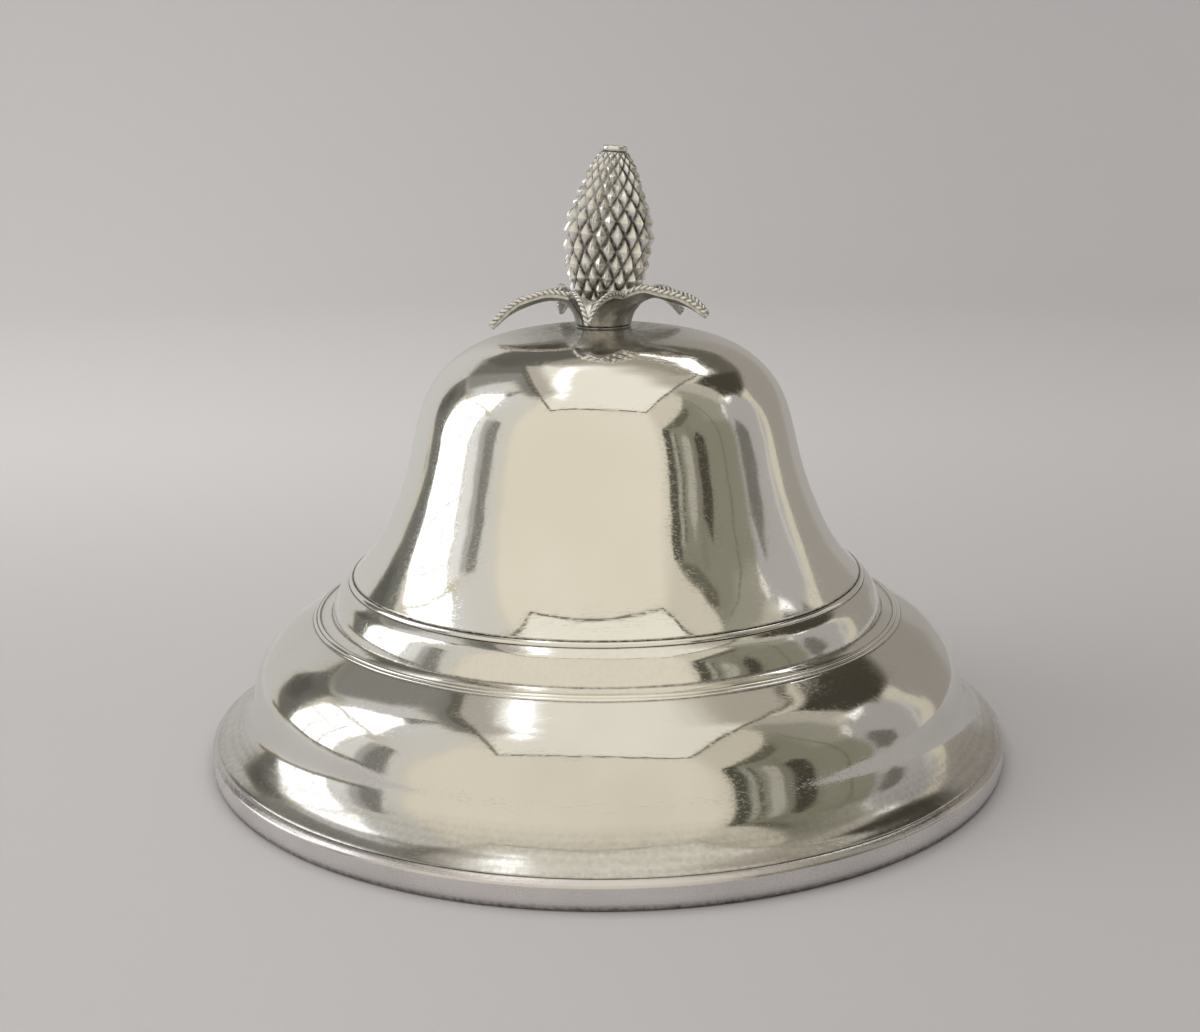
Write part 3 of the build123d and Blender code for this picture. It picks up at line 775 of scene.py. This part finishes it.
def small_bell(index, x, y):
    """A cast bell, mouth down, with turned lines near its lip and its shoulder."""
    outer = spline(BELL_OUTER, 0.4)
    inner = spline(BELL_INNER, 0.6)
    bands = np.zeros(len(outer))
    for h, depth in ((3.2, 0.18), (4.4, 0.18), (27.2, 0.16), (28.2, 0.16)):
        bands += depth * np.exp(-((outer[:, 1] - h) / 0.22) ** 2)
    cut = outer - np.c_[bands, np.zeros(len(outer))]
    lip = arc(BELL_INNER[0], BELL_OUTER[0], -0.85, 0.3)
    path = join(lip, cut, [(5.0, 34.98), (1.7, 35.0), (1.7, 32.82), (5.0, 32.82)], inner[::-1])
    return lathe("small_bell_%d_visual" % index, path, BELL_METAL, 128, 40, centre=(x, y, BELL_MOUTH_Z))


def clapper(index, x, y, tangent):
    """A stem and ball, and the eye that they hang from."""
    ball = [(1.0, 21.5), (1.5, 19.9), (3.6, 18.0), (4.55, 15.4), (3.7, 12.6), (1.9, 11.05)]
    stem = join([(0.02, CLAPPER_EYE_Z - 2.45), (0.8, CLAPPER_EYE_Z - 2.6), (1.05, CLAPPER_EYE_Z - 3.2)],
                [(0.95, 24.0), (1.0, 21.5)], spline(ball, 0.35), [(1.0, 10.7), (0.02, 10.62)])
    body = lathe("clapper_%d_visual" % index, stem[::-1], CAST_IRON, 48, 60, centre=(x, y, 0), closed=False)
    eye = ring("clapper_%d_eye" % index, (x, y, CLAPPER_EYE_Z), tangent, EYE_R, CAST_IRON)
    return body, eye


def eye_bolt(index, x, y, tangent):
    """A shank with a collar, and the eye below it."""
    shank = [(0.02, 52.5), (1.1, 52.5), (1.46, 52.15), (1.46, 46.0), (1.48, 43.0), (3.1, 43.0),
             (3.18, 42.9), (3.18, 42.1), (3.05, 42.0), (1.2, 42.0), (0.9, 41.6), (0.02, 41.5)]
    body = lathe("eye_bolt_%d_visual" % index, shank[::-1], IRON, 48, 50, centre=(x, y, 0), closed=False)
    eye = ring("eye_bolt_%d_eye" % index, (x, y, EYE_Z), tangent, EYE_R, IRON)
    return body, eye


# ---- place every piece
def put(obj, body, node):
    """The piece rides on its body, in place of its CAD node."""
    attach(obj, body)
    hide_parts(node)


for build, node in ((crown_shell, "crown_shell"), (upper_reed, "upper_reed_wire"),
                    (collar, "collar_moulding"), (lower_reed, "lower_reed_wire"),
                    (skirt_shell, "skirt_shell"), (rim_wire, "rim_wire")):
    put(build(), "root", node)
for build, node in ((pineapple, "pineapple_grip"), (cap, "finial_cap"), (calyx_cup, "leaf_calyx")):
    put(build(), "root", node)
for number, spec in enumerate(LEAVES, start=1):
    put(leaf(number, *spec), "root", "leaf_calyx")
for piece in leaf_ropes():
    put(piece, "root", "leaf_calyx")

for number in range(1, BELL_COUNT + 1):
    turn = TURN * (number - 1) / BELL_COUNT
    radial = np.array((math.cos(turn), math.sin(turn), 0.0))
    tangent = np.array((-math.sin(turn), math.cos(turn), 0.0))
    x, y = radial[:2] * BELL_CIRCLE_R
    put(small_bell(number, x, y), "root", "small_bell_%d" % number)
    for piece in eye_bolt(number, x, y, tangent):
        put(piece, "root", "eye_bolt_%d" % number)
    link = ring("link_ring_%d_visual" % number, (x, y, LINK_Z), radial, LINK_R, IRON)
    put(link, "link_%d" % number, "link_ring_%d" % number)
    for piece in clapper(number, x, y, tangent):
        put(piece, "clapper_%d" % number, "clapper_%d" % number)

IRON_NODES = ("tie_rod", "crown_washer", "crown_nut", "cross_bracket", "bracket_washers",
              "bracket_nuts", "bell_washers", "bell_nuts")
for name in (*IRON_NODES, "bell_pads"):
    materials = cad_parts[name].data.materials
    materials.clear()
    materials.append(IRON if name in IRON_NODES else LEATHER)


# ---- studio
DOME_R = 1450.0
DOME_Z = 60.0
DOME_STRENGTH = 1.08
PAPER_HOLE_R = 88.5  # open under the bell, so that light reaches its inside
PAPER_MIRRORED_R = 360.0  # the paper inside this radius shows in the metal
PAPER_BEND_R, PAPER_BEND_Z = 900.0, 800.0
PAPER_WALL_R, PAPER_TOP_Z = 1700.0, 1500.0


def to_linear(rgb):
    """Linear light from sRGB tones of 0 to 255."""
    c = np.asarray(rgb, float) / 255.0
    return np.where(c <= 0.04045, c / 12.92, ((c + 0.055) / 1.055) ** 2.4)


def soft_box(x, low, high, edge):
    """1 between low and high, with soft edges."""
    a = np.clip((x - low) / edge + 0.5, 0, 1)
    b = np.clip((high - x) / edge + 0.5, 0, 1)
    a, b = a * a * (3 - 2 * a), b * b * (3 - 2 * b)
    return a * b


def card(az, el, corners, edge):
    """How much of each direction a card fills, 0 to 1. Its corners make a convex shape, in degrees."""
    corners = np.array(corners, float)
    middle = corners.mean(axis=0)
    share = np.full(az.shape, 1e9)
    for a, b in zip(corners, np.roll(corners, -1, axis=0)):
        side = unit((b[1] - a[1], a[0] - b[0]))
        if side @ (middle - a) < 0:
            side = -side
        share = np.minimum(share, (az - a[0]) * side[0] + (el - a[1]) * side[1])
    share = np.clip(share / edge + 0.5, 0, 1)
    return share * share * (3 - 2 * share)


CARDS = [  # tone, strength, edge softness, corners as (azimuth, elevation): azimuth 0 faces the front
    ((220, 213, 198), 0.95, 10, [(-62, -20), (34, -20), (34, 75), (-62, 75)]),
    ((206, 204, 199), 0.8, 6, [(-82, -20), (-62, -20), (-62, 56), (-82, 56)]),
    ((194, 193, 189), 1.0, 8, [(-190, -20), (-141, -20), (-141, 29), (-190, 29)]),
    ((194, 193, 189), 1.0, 3, [(-150, -20), (-124, -20), (-129, 4), (-136, 20), (-141, 31), (-150, 31)]),
    ((166, 163, 158), 1.0, 20, [(-215, -40), (-170, -40), (-170, 50), (-215, 50)]),
    ((112, 111, 104), 1.0, 4, [(-192, 30), (-140, 31), (-122, 34), (-122, 68), (-192, 68)]),
    ((140, 139, 133), 1.0, 7, [(-137, 32), (-136, 60), (-112, 60), (-116, 32)]),
    ((206, 205, 202), 1.0, 7, [(-121, 34), (-119, 55), (-80, 55), (-80, 34)]),
    ((128, 127, 121), 1.0, 5, [(-142, 57), (-142, 68), (-78, 68), (-70, 60), (-80, 57)]),
    ((112, 111, 105), 1.0, 3, [(-138, 31), (-119, 31), (-114.5, 14), (-113.5, -2), (-122, -2),
                               (-129, 8), (-136, 22)]),
    ((92, 92, 87), 0.9, 4, [(-133, 16), (-132, 24), (-124, 24), (-122, 14), (-126, 10)]),
    ((255, 255, 254), 1.0, 1.2, [(-114, -2), (-114, 28), (-110, 31), (-92, 33), (-89, 30), (-89, -2)]),
    ((255, 255, 254), 1.0, 1.6, [(-112, 31), (-107, 41), (-99, 49), (-91, 47), (-86, 33)]),
    ((224, 223, 220), 1.0, 2, [(-89, 1), (-89, 29), (-82, 29), (-79, 12), (-80, 1)]),
    ((172, 170, 166), 1.0, 3, [(-82, 27), (-74, 27), (-69, 8), (-68, -5), (-80, -5)]),
    ((132, 130, 125), 1.0, 2.5, [(-78, 28), (-72, 28), (-69.5, 8), (-69.5, -4), (-76, -4)]),
    ((140, 138, 133), 1.0, 2, [(-100, 49), (-96.5, 57), (-92, 57), (-90.5, 49)]),
    ((214, 213, 211), 0.8, 0.9, [(-111, 31.4), (-111, 30.2), (-100, 32.6), (-100, 33.8)]),
    ((214, 213, 211), 0.8, 0.9, [(-100, 33.8), (-100, 32.6), (-89, 32.2), (-89, 33.4)]),
    ((214, 213, 211), 0.8, 0.9, [(-97, 1), (-97, 29), (-96, 29), (-96, 1)]),
    ((214, 213, 211), 0.8, 0.9, [(-105.4, 1), (-105.4, 30), (-104.6, 30), (-104.6, 1)]),
    ((206, 205, 203), 0.8, 0.9, [(-88.2, 3), (-88.2, 24), (-87.2, 24), (-87.2, 3)]),
    ((220, 220, 218), 0.7, 0.9, [(-113, 11), (-90, 11), (-90, 10.2), (-113, 10.2)]),
    ((220, 220, 218), 0.7, 0.9, [(-113, 21.6), (-90, 22.6), (-90, 21.8), (-113, 20.8)]),
    ((206, 205, 202), 0.8, 3, [(-116, -16), (-116, -1.5), (-62, -3), (-62, -16)]),
    ((118, 116, 110), 0.85, 1.0, [(-128, -0.6), (-112, 1.0), (-112, -1.6), (-128, -3.0)]),
    ((118, 116, 110), 0.85, 1.0, [(-112, 1.0), (-74, -0.4), (-74, -2.8), (-112, -1.6)]),
    ((134, 131, 116), 1.0, 2, [(37, -20), (37, 31), (85, 60), (90, 45), (85, -20)]),
    ((150, 147, 134), 0.9, 6, [(70, 30), (76, 60), (94, 60), (90, 20)]),
    ((84, 84, 73), 1.0, 1.4, [(36, -8), (36, 28), (37.5, 31), (41.5, 32), (40, -8)]),
    ((98, 96, 83), 0.9, 2, [(40, 31), (62, 45), (66, 45), (62, 39), (50, 31)]),
    ((166, 163, 150), 0.9, 1.6, [(41, -8), (41, 27), (43.5, 27), (43, -8)]),
    ((96, 93, 82), 0.9, 1.2, [(43.2, -8), (43.6, 26), (45, 26), (44.6, -8)]),
    ((172, 169, 157), 0.95, 2, [(46.5, -8), (47, 20), (49, 25), (52, 20), (52, -8)]),
    ((126, 122, 109), 0.9, 1.6, [(52, -8), (52, 30), (56, 32), (56, -8)]),
    ((76, 72, 63), 1.0, 2, [(55.5, -8), (55.5, 20), (59, 24), (62, 20), (62, -8)]),
    ((108, 106, 92), 0.8, 0.9, [(73.2, -12), (73.6, 46), (74.6, 50), (74.4, -12)]),
    ((176, 171, 160), 0.9, 5, [(86, 66), (90, 38), (104, 42), (108, 66)]),
    ((168, 164, 161), 1.0, 4, [(84, -20), (84, 28), (90, 36), (110, 37), (116, 20), (112, 8), (112, -20)]),
    ((108, 106, 99), 0.9, 3, [(86, 0), (86, 15), (90, 21), (96, 11), (96, 0), (91, -4)]),
    ((222, 218, 208), 0.9, 1.6, [(84, 24), (85, 31), (91, 36), (92, 34)]),
    ((252, 252, 250), 0.95, 2.4, [(96, 33), (98, 38), (104, 39), (106, 35), (101, 33)]),
    ((152, 147, 140), 1.0, 2, [(112, -20), (112, 10), (118, 22), (118, 34), (192, 34), (192, -20)]),
    ((166, 163, 158), 0.9, 8, [(136, -24), (140, 2), (196, 34), (196, -24)]),
    ((190, 187, 183), 0.9, 1.6, [(106.6, -12), (106.6, 9), (109.4, 9), (109.4, -12)]),
    ((190, 187, 183), 0.9, 1.6, [(106.6, 8), (112.6, 24), (115, 23), (109.4, 8)]),
]
LATE_CARDS = [  # the same, for what hangs in front of the ceiling
    ((148, 142, 130), 0.9, 8, [(128, 46), (128, 62), (192, 64), (192, 46)]),
    ((148, 142, 130), 0.9, 8, [(-192, 46), (-192, 64), (-158, 60), (-150, 46)]),
    ((98, 95, 84), 1.0, 4, [(110, 31), (110, 40), (150, 46), (192, 46), (192, 31)]),
    ((98, 97, 90), 1.0, 4, [(-192, 31), (-192, 46), (-152, 54), (-146, 44), (-154, 31)]),
    ((72, 68, 59), 1.0, 4, [(101, 38), (110, 58), (120, 64), (128, 50), (150, 44), (152, 35), (118, 31)]),
    ((255, 255, 254), 1.0, 2.2, [(127, 49), (134, 53), (148, 53), (148, 46), (136, 46.5)]),
    ((255, 255, 254), 1.0, 2.2, [(145, 53), (162, 49), (174, 46), (174, 42), (162, 41), (145, 46)]),
]
WALLS = [(-7, 1.57), (-97, 1.96), (83, 1.90), (173, 1.0)]  # azimuth, and height over distance, of each wall


def studio_walls(az, el):
    """The sRGB tone of each direction round the table: walls, cards and a pale ceiling."""
    colour = np.zeros(az.shape + (3,)) + np.array((200.0, 194.0, 178.0))

    def paint(tone, share):
        nonlocal colour
        colour = colour + (np.array(tone, float) - colour) * share[..., None]

    for tone, strength, edge, corners in CARDS:
        paint(tone, strength * card(az, el, corners, edge))
    slope = np.max([k * np.cos(np.radians(az - facing)) for facing, k in WALLS], axis=0)
    top = np.degrees(np.arctan(slope))
    above = np.clip((el - top) / 0.8, 0, 1)
    paint((228, 224, 212), above)
    paint((174, 168, 156), above * soft_box(az, 90, 165, 30) * (1 - soft_box(el, 72, 120, 12)) * 0.95)
    paint((178, 172, 163), above * soft_box(az, -192, -66, 20) * soft_box(el - top, -3, 7, 6))
    tilted = el - np.minimum(top, 62) * 0.45
    paint((255, 255, 252), soft_box(az, -168, -62, 18) * soft_box(tilted, 42, 49, 4))
    paint((255, 254, 250), soft_box(az, -64, -48, 7) * soft_box(el, 63, 71, 5))
    thick = 1.0 + 0.9 * soft_box(az, -150, -80, 30)
    paint((104, 101, 90), 0.9 * soft_box(el - top, -0.9 * thick, 0.5 * thick, 0.7))
    for tone, strength, edge, corners in LATE_CARDS:
        paint(tone, strength * card(az, el, corners, edge))
    return colour


def studio_dome():
    """A wide shell round the table that shows in the metal and isn't seen itself."""
    az = np.linspace(-180, 180, 721)
    el = np.r_[np.linspace(-14, 68, 247), np.linspace(68.6, 90, 40)]
    e, a = np.meshgrid(np.radians(el), np.radians(az), indexing="ij")
    points = np.stack([DOME_R * np.cos(e) * np.sin(a), -DOME_R * np.cos(e) * np.cos(a),
                       DOME_Z + DOME_R * np.sin(e)], -1)
    tone = studio_walls(np.degrees(a), np.degrees(e))
    n = Nodes("studio_dome")
    glow = n.add("ShaderNodeEmission")
    n.link(n.add("ShaderNodeAttribute", attribute_name="tone").outputs["Color"], glow.inputs["Color"])
    glow.inputs["Strength"].default_value = DOME_STRENGTH
    n.link(glow.outputs["Emission"], n.out.inputs["Surface"])
    quads = grid_quads(len(el), len(az), False, False)
    obj = mesh_object("studio_dome", points.reshape(-1, 3), quads, n.material)
    layer = obj.data.attributes.new("tone", "FLOAT_COLOR", "POINT")
    linear = to_linear(tone.reshape(-1, 3)) ** 1.06
    linear = linear * (1 + 0.9 * np.clip((linear.min(axis=1) - 0.9) / 0.1, 0, 1))[:, None]
    layer.data.foreach_set("color", np.c_[linear, np.ones(len(linear))].astype(np.float32).ravel())
    obj.visible_camera = False
    obj.visible_diffuse = False
    obj.visible_shadow = False


def backdrop():
    """Grey paper: a flat round floor that sweeps up into a wall on every side, its colour painted lighter
    at the back and left and darker at the front and right.
    """
    floor = line((PAPER_HOLE_R, 0), (PAPER_MIRRORED_R, 0), 30)
    sweep = join(line((PAPER_MIRRORED_R, 0), (PAPER_BEND_R, 0), 60),
                 arc((PAPER_BEND_R, 0), (PAPER_WALL_R, PAPER_BEND_Z), -235, 40),
                 line((PAPER_WALL_R, PAPER_BEND_Z), (PAPER_WALL_R, PAPER_TOP_Z), 200))
    n = Nodes("paper")
    place = n.place()
    split = n.add("ShaderNodeSeparateXYZ")
    n.link(place, split.inputs["Vector"])
    # The shader's places are in metres.
    # Painted light and shade: the paper is lighter towards the back and the left, and darker towards the
    # front and the right.
    depth = n.span(split.outputs["Y"], 0.0, 0.40, 0.0, 1.0, True)
    reach = n.math("ADD", n.math("ABSOLUTE", n.math("ADD", split.outputs["Y"], 0.15)), 0.226)
    painted_shade_to_right = n.span(n.math("DIVIDE", split.outputs["X"], reach), -0.30, 0.36, 0.0, 1.0, True)
    left = n.mix(depth, (0.450, 0.439, 0.436), (0.600, 0.585, 0.582))
    right = n.mix(depth, (0.415, 0.404, 0.400), (0.500, 0.486, 0.485))
    tint = n.mix(painted_shade_to_right, left, right)
    grain = n.noise(place, 900.0, 3.0, 0.6)
    paper = n.principled(Base_Color=tint, Roughness=0.75, Normal=n.bump(grain, 0.03 * MM, 0.4))
    open_below = n.add("ShaderNodeMixShader")  # seen from under the table, the paper is clear
    n.link(n.add("ShaderNodeNewGeometry").outputs["Backfacing"], open_below.inputs["Fac"])
    n.link(paper.outputs["BSDF"], open_below.inputs[1])
    n.link(n.add("ShaderNodeBsdfTransparent").outputs["BSDF"], open_below.inputs[2])
    n.link(open_below.outputs["Shader"], n.out.inputs["Surface"])
    table = lathe("backdrop_floor", floor, n.material, 96, 80, closed=False)
    wall = lathe("backdrop_wall", sweep, n.material, 96, 80, closed=False)
    wall.visible_glossy = False
    for sheet in (table, wall):
        if sheet.data.polygons[0].normal.z < 0:
            sheet.data.flip_normals()


def area_light(name, place, target, size, energy, colour):
    """A soft light at a place, aimed at a target. Its size is in metres."""
    data = bpy.data.lights.new(name, "AREA")
    data.shape = "RECTANGLE"
    data.size, data.size_y = size
    data.energy = energy
    data.color = colour
    obj = bpy.data.objects.new(name, data)
    bpy.context.scene.collection.objects.link(obj)
    direction = np.array(target, float) - np.array(place, float)
    back = unit(-direction)
    side = unit(np.cross((0, 0, 1.0), back))
    up = np.cross(back, side)
    m = Matrix(np.c_[np.c_[side, up, back], np.array(place) * MM].tolist() + [[0, 0, 0, 1]])
    obj.matrix_world = m
    obj.visible_glossy = False
    obj.visible_camera = False


studio_dome()
backdrop()
area_light("window_light", (-1150, -150, 700), (0, 100, 60), (1.0, 1.0), 9.0, (1.0, 0.99, 0.99))
area_light("ceiling_light", (0, -100, 1500), (0, 0, 0), (2.2, 2.2), 18.0, (1.0, 0.985, 0.96))
world = bpy.data.worlds.new("studio_air")
bpy.context.scene.world = world
world.use_nodes = True
air = world.node_tree.nodes["Background"]
air.inputs["Color"].default_value = (0.985, 0.99, 1.0, 1)
air.inputs["Strength"].default_value = 0.40

# ---- camera
CAMERA_PLACE = (-1.26, -376.07, 144.98)
LOOKS_DOWN = 13.764  # degrees below level
CAMERA_ROLL = -0.652  # degrees
FOCAL_LENGTH = 51.0
SENSOR_WIDTH = 36.0
camera_data = bpy.data.cameras.new("camera")
camera_data.lens = FOCAL_LENGTH
camera_data.sensor_width = SENSOR_WIDTH
camera_data.clip_start = 0.01
camera = bpy.data.objects.new("camera", camera_data)
bpy.context.scene.collection.objects.link(camera)
tilt = Matrix.Rotation(math.radians(90 - LOOKS_DOWN), 4, "X")
roll = Matrix.Rotation(math.radians(CAMERA_ROLL), 4, "Z")
camera.matrix_world = Matrix.Translation([c * MM for c in CAMERA_PLACE]) @ tilt @ roll
bpy.context.scene.camera = camera
bpy.context.scene.view_settings.view_transform = "Standard"
